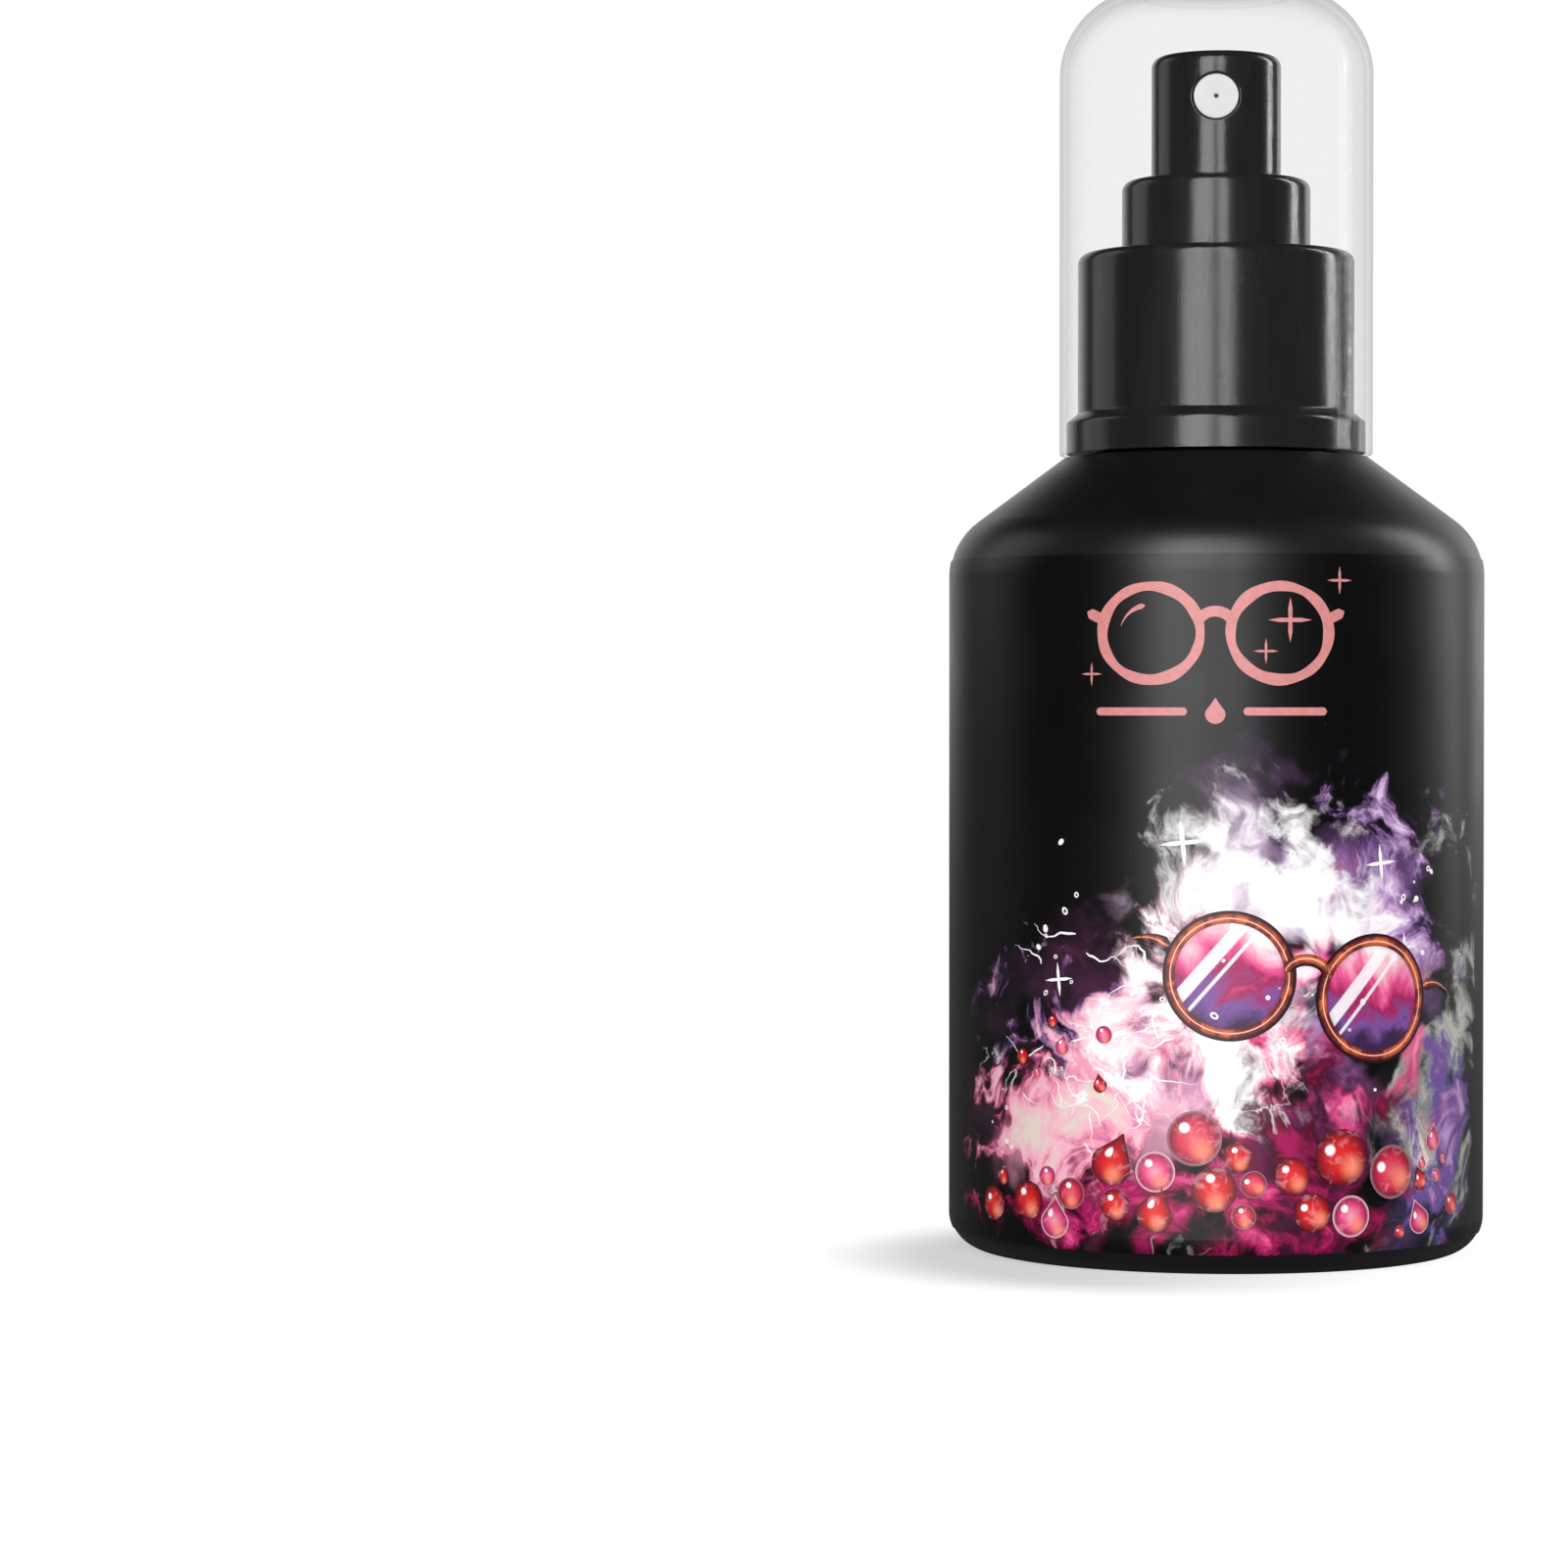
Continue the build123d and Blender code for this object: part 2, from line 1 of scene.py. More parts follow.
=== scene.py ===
"""Looks for the lens cleaning spray: camera, studio, materials, printed art and small detail pieces.

Metres, in the CAD model's frame: +Z up, the nozzle faces -Y. Angles round the bottle are measured
from -Y towards +X.
"""

import math
import random

import bmesh
import bpy
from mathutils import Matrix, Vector
from mathutils.bvhtree import BVHTree


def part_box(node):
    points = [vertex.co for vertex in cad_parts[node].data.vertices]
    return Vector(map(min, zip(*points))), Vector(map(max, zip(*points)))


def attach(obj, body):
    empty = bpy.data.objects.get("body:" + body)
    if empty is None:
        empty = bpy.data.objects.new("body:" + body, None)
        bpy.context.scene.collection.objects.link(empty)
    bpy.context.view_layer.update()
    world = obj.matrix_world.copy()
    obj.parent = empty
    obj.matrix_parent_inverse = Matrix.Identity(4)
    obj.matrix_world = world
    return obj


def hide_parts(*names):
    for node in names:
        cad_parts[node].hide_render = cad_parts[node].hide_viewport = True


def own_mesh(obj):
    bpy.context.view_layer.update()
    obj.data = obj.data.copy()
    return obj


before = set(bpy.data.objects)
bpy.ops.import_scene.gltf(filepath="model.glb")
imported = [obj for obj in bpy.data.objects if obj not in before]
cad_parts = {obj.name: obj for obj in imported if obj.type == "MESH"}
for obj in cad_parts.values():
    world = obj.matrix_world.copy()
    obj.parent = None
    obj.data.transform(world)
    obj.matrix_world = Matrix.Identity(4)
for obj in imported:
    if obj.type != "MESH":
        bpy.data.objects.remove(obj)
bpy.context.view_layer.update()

scene = bpy.context.scene
MM = 0.001

# Sizes of the CAD model that its nodes' boxes don't give.
CAP_ROOF = 0.8 * MM
CAP_CORNER = 8.6 * MM
ORIFICE_R = 0.15 * MM
NECK_END_R = 15.2 * MM
SHOULDER_END_R = 23.6 * MM

# How much light the overcap's outer surface lets through, from seen square on (0) to edge on (1).
CAP_TINTS = (
    (0.0, 0.9645),
    (0.36, 0.9645),
    (0.49, 0.945),
    (0.565, 0.926),
    (0.65, 0.892),
    (0.70, 0.855),
    (0.77, 0.812),
    (1.0, 0.72),
)
CAP_INNER_TINT = (0.9645, 0.9648, 0.9655)

# ---------------------------------------------------------------- places read from the frame

sleeve_low, sleeve_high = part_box("label_sleeve")
SLEEVE_R = sleeve_high.x
cap_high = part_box("overcap")[1]


# ---------------------------------------------------------------- node helpers

class Shader:
    """A material under construction: every method adds a node and gives back its output."""

    def __init__(self, name):
        self.material = bpy.data.materials.new(name)
        self.material.use_nodes = True
        self.tree = self.material.node_tree
        self.tree.nodes.clear()
        self.output = self.tree.nodes.new("ShaderNodeOutputMaterial")
        self.coords = self.tree.nodes.new("ShaderNodeTexCoord").outputs["Object"]

    def link(self, value, socket):
        """Set a socket to a constant, or join a node's output to it."""
        if isinstance(value, bpy.types.NodeSocket):
            self.tree.links.new(value, socket)
        else:
            socket.default_value = value

    def math(self, operation, *values):
        node = self.tree.nodes.new("ShaderNodeMath")
        node.operation = operation
        for value, socket in zip(values, node.inputs):
            self.link(value, socket)
        return node.outputs[0]

    def vector(self, operation, *values):
        node = self.tree.nodes.new("ShaderNodeVectorMath")
        node.operation = operation
        for value, socket in zip(values, node.inputs):
            self.link(value, socket)
        scalar = operation in ("LENGTH", "DISTANCE")
        return node.outputs["Value"] if scalar else node.outputs["Vector"]

    def scaled(self, vector, factor):
        node = self.tree.nodes.new("ShaderNodeVectorMath")
        node.operation = "SCALE"
        self.link(vector, node.inputs[0])
        self.link(factor, node.inputs["Scale"])
        return node.outputs["Vector"]

    def split(self, vector):
        node = self.tree.nodes.new("ShaderNodeSeparateXYZ")
        self.link(vector, node.inputs[0])
        return node.outputs

    def join(self, x, y, z):
        node = self.tree.nodes.new("ShaderNodeCombineXYZ")
        for value, socket in zip((x, y, z), node.inputs):
            self.link(value, socket)
        return node.outputs[0]

    def noise(self, scale, detail=2.0, roughness=0.5, distortion=0.0, where=None, colour=False):
        node = self.tree.nodes.new("ShaderNodeTexNoise")
        self.link(self.coords if where is None else where, node.inputs["Vector"])
        self.link(scale, node.inputs["Scale"])
        self.link(detail, node.inputs["Detail"])
        self.link(roughness, node.inputs["Roughness"])
        self.link(distortion, node.inputs["Distortion"])
        return node.outputs["Color" if colour else "Fac"]

    def step(self, value, low, high, to_low=0.0, to_high=1.0):
        """Smooth step of value between low and high."""
        node = self.tree.nodes.new("ShaderNodeMapRange")
        node.interpolation_type = "SMOOTHSTEP"
        for socket, item in zip(node.inputs, (value, low, high, to_low, to_high)):
            self.link(item, socket)
        return node.outputs[0]

    def ramp(self, value, *stops):
        """Colour ramp from (position, (r, g, b)) stops."""
        node = self.tree.nodes.new("ShaderNodeValToRGB")
        elements = node.color_ramp.elements
        while len(elements) < len(stops):
            elements.new(1.0)
        for element, (position, colour) in zip(elements, stops):
            element.position = position
            element.color = (*colour, 1.0)
        self.link(value, node.inputs[0])
        return node.outputs[0]

    def mix(self, factor, first, second, blend="MIX"):
        node = self.tree.nodes.new("ShaderNodeMix")
        node.data_type = "RGBA"
        node.blend_type = blend
        node.clamp_factor = True
        self.link(factor, node.inputs["Factor"])
        for socket, value in ((node.inputs[6], first), (node.inputs[7], second)):
            self.link((*value, 1.0) if isinstance(value, tuple) and len(value) == 3 else value, socket)
        return node.outputs[2]

    def bump(self, height, distance, strength=0.5):
        node = self.tree.nodes.new("ShaderNodeBump")
        node.inputs["Strength"].default_value = strength
        node.inputs["Distance"].default_value = distance
        self.link(height, node.inputs["Height"])
        return node.outputs[0]

    def warped(self, where, scale, amount, detail=3.0):
        """Coordinates pushed about by a soft noise."""
        cloud = self.noise(scale, detail, where=where, colour=True)
        push = self.vector("SUBTRACT", cloud, (0.5, 0.5, 0.5))
        return self.vector("ADD", where, self.scaled(push, amount))

    def blob(self, where, centre, radii):
        """Distance from a centre, 1 on the ellipse with these radii."""
        offset = self.vector("SUBTRACT", where, (*centre, 0.0))
        return self.vector("LENGTH", self.vector("DIVIDE", offset, (*radii, 1.0)))

    def attribute(self, name):
        node = self.tree.nodes.new("ShaderNodeAttribute")
        node.attribute_name = name
        return node.outputs["Vector"]

    def principled(self, **settings):
        """Principled surface. Keys are socket names with underscores for spaces."""
        node = self.tree.nodes.new("ShaderNodeBsdfPrincipled")
        for key, value in settings.items():
            socket = node.inputs[key.replace("_", " ")]
            if isinstance(value, tuple) and len(value) == 3 and socket.type == "RGBA":
                value = (*value, 1.0)
            self.link(value, socket)
        self.tree.links.new(node.outputs[0], self.output.inputs["Surface"])
        return node


def dress(node, material):
    """Give a CAD node's object a material."""
    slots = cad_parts[node].data.materials
    slots.clear()
    slots.append(material)


# ---------------------------------------------------------------- materials

def moulded_black(name, gloss, grain, tone):
    """Black moulded plastic: fine grain, faint flow marks, handling smears in the roughness."""
    s = Shader(name)
    smears = s.noise(90, detail=4, roughness=0.6, distortion=1.2)
    fine = s.noise(3000, detail=2)
    flow = s.noise(420, detail=2, where=s.vector("MULTIPLY", s.coords, (1.0, 1.0, 0.12)))
    roughness = s.step(smears, 0.3, 0.8, gloss - 0.01, gloss + 0.03)
    roughness = s.math("ADD", roughness, s.step(fine, 0.35, 0.65, -0.008, 0.008))
    colour = s.mix(s.step(flow, 0.3, 0.7), tuple(0.85 * c for c in tone), tuple(1.15 * c for c in tone))
    height = s.math("ADD", s.math("MULTIPLY", fine, grain), s.math("MULTIPLY", flow, 0.35))
    s.principled(
        Base_Color=colour,
        Roughness=roughness,
        IOR=1.5,
        Normal=s.bump(height, 0.002 * MM, strength=0.35),
    )
    return s.material


def ink(red, green, blue):
    """Linear colour of an ink given as 0-255 screen values."""
    return tuple((value / 255) ** 2.2 for value in (red, green, blue))


BLACK_FILM = ink(6, 6, 7)
WHITE = ink(252, 249, 251)
LILAC = ink(196, 158, 206)
VIOLET = ink(118, 78, 150)
NIGHT = ink(58, 34, 72)
ROSE = ink(244, 178, 196)
PINK = ink(232, 84, 142)
MAGENTA = ink(158, 26, 86)
WINE = ink(72, 8, 34)
CREAM = ink(232, 214, 204)
SLATE = ink(70, 70, 76)
ASH = ink(168, 172, 164)
INDIGO = ink(84, 80, 150)
RED = ink(206, 30, 34)
CORAL = ink(207, 132, 131)

# Soft glows under the printed mist: centre and radii (arc, height, in mm), strength and ink.
GLOWS = (
    ((21.0, 20.0), (13.0, 25.0), 0.75, ink(66, 64, 76)),
    ((22.5, 12.0), (8.0, 15.0), 0.8, ink(84, 70, 126)),
    ((-13.0, 17.0), (17.0, 17.0), 0.7, ink(92, 58, 88)),
    ((2.0, 15.0), (23.0, 20.0), 0.9, ink(104, 22, 66)),
    ((9.0, 30.0), (18.5, 19.0), 0.95, ink(142, 96, 160)),
    ((2.0, 31.0), (11.5, 14.0), 1.0, ink(246, 226, 240)),
    ((-3.0, 19.0), (9.0, 9.0), 0.9, ink(250, 190, 214)),
    ((-14.5, 11.5), (9.5, 8.0), 0.8, ink(214, 150, 168)),
)

# Washes of the printed mist, back to front: centre and radii (arc, height, in mm), how ragged its
# rim is, the scale of its billows, and its inks from shadow to light.
WASHES = (
    ((23.5, 19.0), (8.5, 19.0), 1.5, 0.11, (NIGHT, SLATE, ASH, CREAM)),
    ((25.0, 14.0), (5.0, 10.0), 1.7, 0.16, (NIGHT, INDIGO, VIOLET, LILAC)),
    ((15.5, 32.0), (9.5, 10.5), 1.4, 0.12, (NIGHT, VIOLET, LILAC, WHITE)),
    ((-10.0, 22.0), (9.0, 7.5), 1.8, 0.13, (NIGHT, VIOLET, ROSE, WHITE)),
    ((9.0, 20.0), (14.0, 14.0), 1.0, 0.10, (WINE, MAGENTA, PINK, ROSE)),
    ((5.0, 35.0), (10.5, 10.0), 1.0, 0.12, (LILAC, WHITE, WHITE, WHITE)),
    ((-1.0, 23.0), (8.5, 10.5), 1.3, 0.14, (PINK, ROSE, WHITE, WHITE)),
    ((10.5, 11.5), (8.0, 10.5), 1.2, 0.13, (BLACK_FILM, NIGHT, WINE, MAGENTA)),
    ((-15.5, 13.5), (9.5, 8.5), 1.6, 0.15, (WINE, PINK, ROSE, CREAM)),
    ((-2.0, 5.0), (21.0, 4.5), 1.5, 0.16, (NIGHT, WINE, MAGENTA, PINK)),
)


def label_film():
    """Matte black film, printed at the front with a mist of pink, violet and white ink."""
    s = Shader("label_film")
    x, y, z = s.split(s.coords)
    arc = s.math("MULTIPLY", s.math("ARCTAN2", x, s.math("MULTIPLY", y, -1.0)), SLEEVE_R / MM)
    sheet = s.join(arc, s.math("DIVIDE", z, MM), 0.0)
    swirl = s.warped(s.warped(sheet, 0.05, 16.0), 0.17, 6.0, detail=5)
    colour = s.mix(s.noise(0.4, detail=3, where=sheet), tuple(0.8 * c for c in BLACK_FILM), BLACK_FILM)
    haze = s.noise(0.09, detail=7, roughness=0.6, where=s.vector("ADD", swirl, (0.0, 60.0, 0.0)))
    smoke = s.math("MULTIPLY", s.math("SUBTRACT", 0.5, haze), 1.7)
    for centre, radii, strength, tone in GLOWS:
        reach = s.math("ADD", s.blob(s.warped(sheet, 0.07, 9.0), centre, radii), smoke)
        colour = s.mix(s.step(reach, 1.1, 0.1, 0.0, strength), colour, tone)
    for index, (centre, radii, ragged, scale, inks) in enumerate(WASHES):
        drift = s.vector("ADD", swirl, (31.0 * index, 17.0 * index, 5.0 * index))
        billow = s.noise(scale, detail=9, roughness=0.66, distortion=0.5, where=drift)
        reach = s.blob(s.warped(sheet, 0.12, 7.0), centre, radii)
        rim = s.math("ADD", reach, s.math("MULTIPLY", s.math("SUBTRACT", 0.5, billow), 3.2 * ragged))
        shade = s.math("SUBTRACT", billow, s.math("MULTIPLY", s.math("SUBTRACT", reach, 0.6), 0.16))
        stops = [(0.34 + 0.28 * i / (len(inks) - 1), tone) for i, tone in enumerate(inks)]
        colour = s.mix(s.step(rim, 1.2, 0.55), colour, s.ramp(shade, *stops))
    veins = s.noise(0.13, detail=4, roughness=0.55, where=s.vector("ADD", swirl, (90.0, 0.0, 0.0)))
    vein = s.step(s.math("ABSOLUTE", s.math("SUBTRACT", veins, 0.5)), 0.014, 0.002)
    near = s.step(s.blob(swirl, (-8.0, 18.0), (19.0, 15.0)), 1.15, 0.5)
    colour = s.mix(s.math("MULTIPLY", s.math("MULTIPLY", vein, near), 0.85), colour, WHITE)
    grain = s.noise(900, detail=3)
    colour = s.mix(0.05, colour, s.ramp(grain, (0.3, NIGHT), (0.7, ROSE)), blend="SOFT_LIGHT")
    smears = s.noise(70, detail=4, distortion=1.0)
    s.principled(
        Base_Color=colour,
        Roughness=s.step(smears, 0.3, 0.75, 0.33, 0.39),
        IOR=1.42,
        Normal=s.bump(s.noise(2400, detail=2), 0.003 * MM),
    )
    return s.material


def clear_plastic():
    """Clear styrene: pale tint, darker where the wall is seen edge on, hairline handling scratches."""
    s = Shader("clear_overcap")
    tree = s.tree
    weight = tree.nodes.new("ShaderNodeLayerWeight")
    weight.inputs["Blend"].default_value = 0.5
    facing = weight.outputs["Facing"]
    x, y, z = s.split(s.coords)
    radius = s.vector("LENGTH", s.join(x, y, 0.0))
    outward = s.math("MAXIMUM", s.math("SUBTRACT", radius, cap_high.x - CAP_CORNER), 0.0)
    upward = s.math("MAXIMUM", s.math("SUBTRACT", z, cap_high.z - CAP_CORNER), 0.0)
    depth = s.vector("LENGTH", s.join(outward, upward, 0.0))
    outside = s.step(depth, CAP_CORNER - 0.4 * MM, CAP_CORNER - 0.3 * MM)
    edge_on = s.ramp(facing, *((place, (tone, tone, tone + 0.001)) for place, tone in CAP_TINTS))
    tint = s.mix(outside, CAP_INNER_TINT, edge_on)
    clear = tree.nodes.new("ShaderNodeBsdfTransparent")
    s.link(tint, clear.inputs["Color"])
    gloss = tree.nodes.new("ShaderNodeBsdfGlossy")
    scratches = s.noise(700, detail=5, where=s.vector("MULTIPLY", s.coords, (1.0, 1.0, 0.08)))
    s.link(s.step(scratches, 0.45, 0.8, 0.026, 0.031), gloss.inputs["Roughness"])
    # The gloss starts nearer the outline on the left, where the wide side panel would only haze it.
    dull = s.step(x, -2 * MM, 2 * MM, 0.55, 0.25)
    gate = s.step(facing, dull, s.math("ADD", dull, 0.15))
    shine = s.math("MULTIPLY", s.math("MULTIPLY", s.math("POWER", facing, 4.0), 0.15), gate)
    blend = tree.nodes.new("ShaderNodeMixShader")
    tree.links.new(shine, blend.inputs[0])
    tree.links.new(clear.outputs[0], blend.inputs[1])
    tree.links.new(gloss.outputs[0], blend.inputs[2])
    tree.links.new(blend.outputs[0], s.output.inputs["Surface"])
    return s.material


def plain(name, colour, roughness, metallic=0.0):
    """Small parts: one tone with fine variation in colour, roughness and surface."""
    s = Shader(name)
    cloud = s.noise(900, detail=4)
    shade = s.mix(s.step(cloud, 0.3, 0.7), tuple(0.9 * c for c in colour), colour)
    s.principled(
        Base_Color=shade,
        Roughness=s.step(cloud, 0.25, 0.75, roughness - 0.06, roughness + 0.06),
        Metallic=metallic,
        Normal=s.bump(s.noise(3600, detail=3), 0.004 * MM),
    )
    return s.material


def nozzle_white():
    """Satin white moulding, with a near-black painted shade inside the hole of its orifice."""
    s = Shader("nozzle_white")
    low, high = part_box("nozzle_insert")
    x, _, z = s.split(s.coords)
    off_axis = s.join(x, 0.0, s.math("SUBTRACT", z, (low.z + high.z) / 2))
    # Painted shade: near-black base colour within the orifice's radius, where the deep hole lies in
    # shadow.
    painted_bore_shade = s.step(s.vector("LENGTH", off_axis), ORIFICE_R + 0.05 * MM, ORIFICE_R + 0.01 * MM)
    cloud = s.noise(500, detail=4)
    face = s.mix(s.step(cloud, 0.3, 0.7), (0.58, 0.58, 0.575), (0.6, 0.6, 0.595))
    s.principled(
        Base_Color=s.mix(painted_bore_shade, face, (0.005, 0.005, 0.005)),
        Roughness=s.step(cloud, 0.25, 0.75, 0.28, 0.32),
        Normal=s.bump(s.noise(2000, detail=3), 0.001 * MM),
    )
    return s.material


pump_black = moulded_black("pump_black", gloss=0.2, grain=0.12, tone=(0.015, 0.015, 0.0154))
bottle_black = moulded_black("bottle_black", gloss=0.36, grain=1.2, tone=(0.004, 0.004, 0.0042))
dress("bottle", bottle_black)
dress("label_sleeve", label_film())
for name in ("closure", "turret", "actuator"):
    dress(name, pump_black)
dress("overcap", clear_plastic())
dress("nozzle_insert", nozzle_white())
natural = plain("natural_polypropylene", (0.80, 0.80, 0.77), 0.38)
for name in ("pump_housing", "ball_retainer", "stem", "valve_rod", "piston", "dip_tube"):
    dress(name, natural)
seal = plain("seal_rubber", (0.30, 0.30, 0.29), 0.6)
dress("neck_gasket", seal)
dress("stem_seal", seal)
steel = plain("spring_steel", (0.55, 0.55, 0.53), 0.28, metallic=1.0)
dress("return_spring", steel)
dress("piston_spring", steel)
dress("inlet_ball", steel)

# ---------------------------------------------------------------- printed pieces on the sleeve

# Thickness of the raised ink, in mm, and how finely its shapes are cut.
INK_T = 0.03
STEPS_ROUND = 40
RING_STEPS = 64
RULE_STEPS = 60
STAR_STEPS = 32
RIBBON_ROWS = (-1, -0.5, 0, 0.5, 1)

THREAD_COUNT = 26
DROP_TRIES = 30


class Print:
    """Ink laid on the sleeve as thin closed shapes, drawn in arc and height (mm) and wrapped round.

    Each vertex keeps its place within its own shape in the attribute "place": across and along the
    shape from -1 to 1, and a number that differs from shape to shape.
    """

    def __init__(self, name, material, lift=0.0):
        self.name = name
        self.material = material
        self.radius = SLEEVE_R + (INK_T + lift) * MM
        self.mesh = bmesh.new()
        self.place = self.mesh.verts.layers.float_vector.new("place")

    def vertex(self, spot, across, along, tag=0.0):
        turn = spot[0] * MM / SLEEVE_R
        at = (self.radius * math.sin(turn), -self.radius * math.cos(turn), spot[1] * MM)
        vertex = self.mesh.verts.new(at)
        vertex[self.place] = (across, along, tag)
        return vertex

    def disc(self, centre, radii, tilt=0.0, pinch=0.0, tag=0.0, hole=0.0, rings=4):
        """Filled ellipse. pinch draws its top to a point, as on a drop; hole leaves out its middle."""
        loops = []
        for ring in range(rings + 1):
            share = hole + (1 - hole) * ring / rings
            loop = []
            for step in range(STEPS_ROUND):
                turn = 2 * math.pi * step / STEPS_ROUND
                across, along = share * math.sin(turn), share * math.cos(turn)
                lean = max(0.0, along) ** 2 * pinch
                x = radii[0] * across * (1 - 0.75 * lean)
                y = radii[1] * along * (1 + 0.55 * lean)
                spot = (centre[0] + x * math.cos(tilt) - y * math.sin(tilt),
                        centre[1] + x * math.sin(tilt) + y * math.cos(tilt))
                loop.append(self.vertex(spot, across, along, tag))
            loops.append(loop)
        if not hole:
            hub = loops[0][0]
            bmesh.ops.pointmerge(self.mesh, verts=loops[0], merge_co=hub.co)
            for a, b in zip(loops[1], loops[1][1:] + loops[1][:1]):
                self.mesh.faces.new((hub, b, a))
            loops = loops[1:]
        for inner, outer in zip(loops, loops[1:]):
            for k in range(STEPS_ROUND):
                j = (k + 1) % STEPS_ROUND
                self.mesh.faces.new((inner[k], inner[j], outer[j], outer[k]))

    def ribbon(self, points, widths, closed=False):
        """Stroke along points, as wide as widths(t) for t from 0 to 1. A closed one joins its ends."""
        points = [Vector(point) for point in points]
        last = len(points) - 1
        rows = []
        for k, spot in enumerate(points[:last] if closed else points):
            before = points[last - 1 if closed and k == 0 else max(k - 1, 0)]
            after = points[min(k + 1, last)]
            run = (after - before).normalized()
            side = Vector((-run.y, run.x)) * widths(k / last) / 2
            along = 2 * k / last - 1
            rows.append([self.vertex(spot + side * across, across, along) for across in RIBBON_ROWS])
        if closed:
            rows.append(rows[0])
        for low, high in zip(rows, rows[1:]):
            for k in range(len(RIBBON_ROWS) - 1):
                self.mesh.faces.new((low[k], low[k + 1], high[k + 1], high[k]))

    def star(self, centre, size, tilt=0.0):
        """Four-pointed sparkle with drawn-in sides."""
        hub = self.vertex(centre, 0, 0)
        rim = []
        for step in range(STAR_STEPS):
            turn = tilt + 2 * math.pi * step / STAR_STEPS
            from_valley = abs(1 - (step % 8) / 4)
            reach = 0.14 + 0.86 * from_valley**3
            across, along = reach * math.cos(turn), reach * math.sin(turn)
            spot = (centre[0] + size * across, centre[1] + size * along)
            rim.append(self.vertex(spot, across, along))
        for a, b in zip(rim, rim[1:] + rim[:1]):
            self.mesh.faces.new((hub, a, b))

    def finish(self):
        """Thicken the shapes into closed ones and add them to the scene as one piece."""
        bmesh.ops.recalc_face_normals(self.mesh, faces=self.mesh.faces)
        bmesh.ops.solidify(self.mesh, geom=list(self.mesh.faces), thickness=-INK_T * MM)
        bmesh.ops.recalc_face_normals(self.mesh, faces=self.mesh.faces)
        data = bpy.data.meshes.new(self.name)
        self.mesh.to_mesh(data)
        self.mesh.free()
        data.materials.append(self.material)
        piece = bpy.data.objects.new(self.name, data)
        scene.collection.objects.link(piece)
        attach(piece, "bottle")


def arc_points(centre, radii, start, end, tilt=0.0, steps=STEPS_ROUND):
    """Points along an elliptical arc, angles in degrees anticlockwise from the right."""
    points = []
    for k in range(steps + 1):
        turn = math.radians(start + (end - start) * k / steps)
        x, y = radii[0] * math.cos(turn), radii[1] * math.sin(turn)
        points.append((centre[0] + x * math.cos(tilt) - y * math.sin(tilt),
                       centre[1] + x * math.sin(tilt) + y * math.cos(tilt)))
    return points


def rounded(width, share=0.12):
    """Stroke width with round ends."""
    return lambda t: width * math.sqrt(max(0.02, 1 - max(0.0, 1 - min(t, 1 - t) / share) ** 2))


def hand_drawn(width, phase):
    """Stroke width that wanders a little, as in a pen drawing; the same at both ends."""
    def widths(t):
        turn = 2 * math.pi * t
        return width * (1 + 0.13 * math.sin(3 * turn + phase) + 0.08 * math.sin(8 * turn + 2 * phase))
    return widths


def tapered(width):
    """Stroke width that starts full and runs out to a hair."""
    return lambda t: width * (0.08 + 0.92 * (1 - t) ** 1.3) * min(1.0, 0.3 + 6 * t)


def printed_ink(name, colour):
    """One screen-printed tone with a slightly uneven lay-down."""
    s = Shader(name)
    lay = s.noise(1500, detail=4)
    s.principled(
        Base_Color=s.mix(s.step(lay, 0.35, 0.65), tuple(0.9 * c for c in colour), colour),
        Roughness=s.step(lay, 0.3, 0.7, 0.38, 0.47),
        Normal=s.bump(lay, 0.004 * MM),
    )
    return s.material


def painted_drop():
    """Glassy red drop as an airbrush would paint it: dark rim, glowing foot, small window highlight."""
    s = Shader("print_drop_ink")
    across, along, tag = s.split(s.attribute("place"))
    spot = s.join(across, along, 0.0)
    radius = s.vector("LENGTH", spot)
    body = s.ramp(radius, (0.0, ink(226, 52, 46)), (0.5, RED), (0.86, ink(128, 10, 24)), (1.0, WINE))
    clear = s.ramp(radius, (0.0, ROSE), (0.5, PINK), (0.86, MAGENTA), (1.0, ink(250, 214, 224)))
    colour = s.mix(tag, body, clear)
    glow = s.step(s.vector("DISTANCE", spot, (0.28, -0.45, 0.0)), 0.62, 0.05)
    colour = s.mix(s.math("MULTIPLY", glow, 0.75), colour, ink(255, 150, 118))
    streak = s.noise(700, detail=4, distortion=1.5)
    colour = s.mix(s.step(streak, 0.52, 0.72, 0.0, 0.35), colour, ROSE)
    window = s.step(s.vector("DISTANCE", spot, (-0.34, 0.40, 0.0)), 0.24, 0.13)
    colour = s.mix(window, colour, WHITE)
    s.principled(Base_Color=colour, Roughness=0.4)
    return s.material


def painted_rim():
    """Dark tortoise spectacle rim: lit along its middle, dark at both edges."""
    s = Shader("print_rim_ink")
    across = s.split(s.attribute("place"))["X"]
    depth = s.math("ABSOLUTE", s.math("SUBTRACT", across, 0.25))
    mottle = s.noise(420, detail=5, distortion=1.2)
    warm = s.mix(s.step(mottle, 0.42, 0.6), ink(122, 30, 28), ink(214, 98, 58))
    colour = s.mix(s.step(depth, 0.2, 1.0), warm, ink(34, 8, 20))
    colour = s.mix(s.step(depth, 0.16, 0.04, 0.0, 0.8), colour, ink(255, 214, 190))
    s.principled(Base_Color=colour, Roughness=0.42)
    return s.material


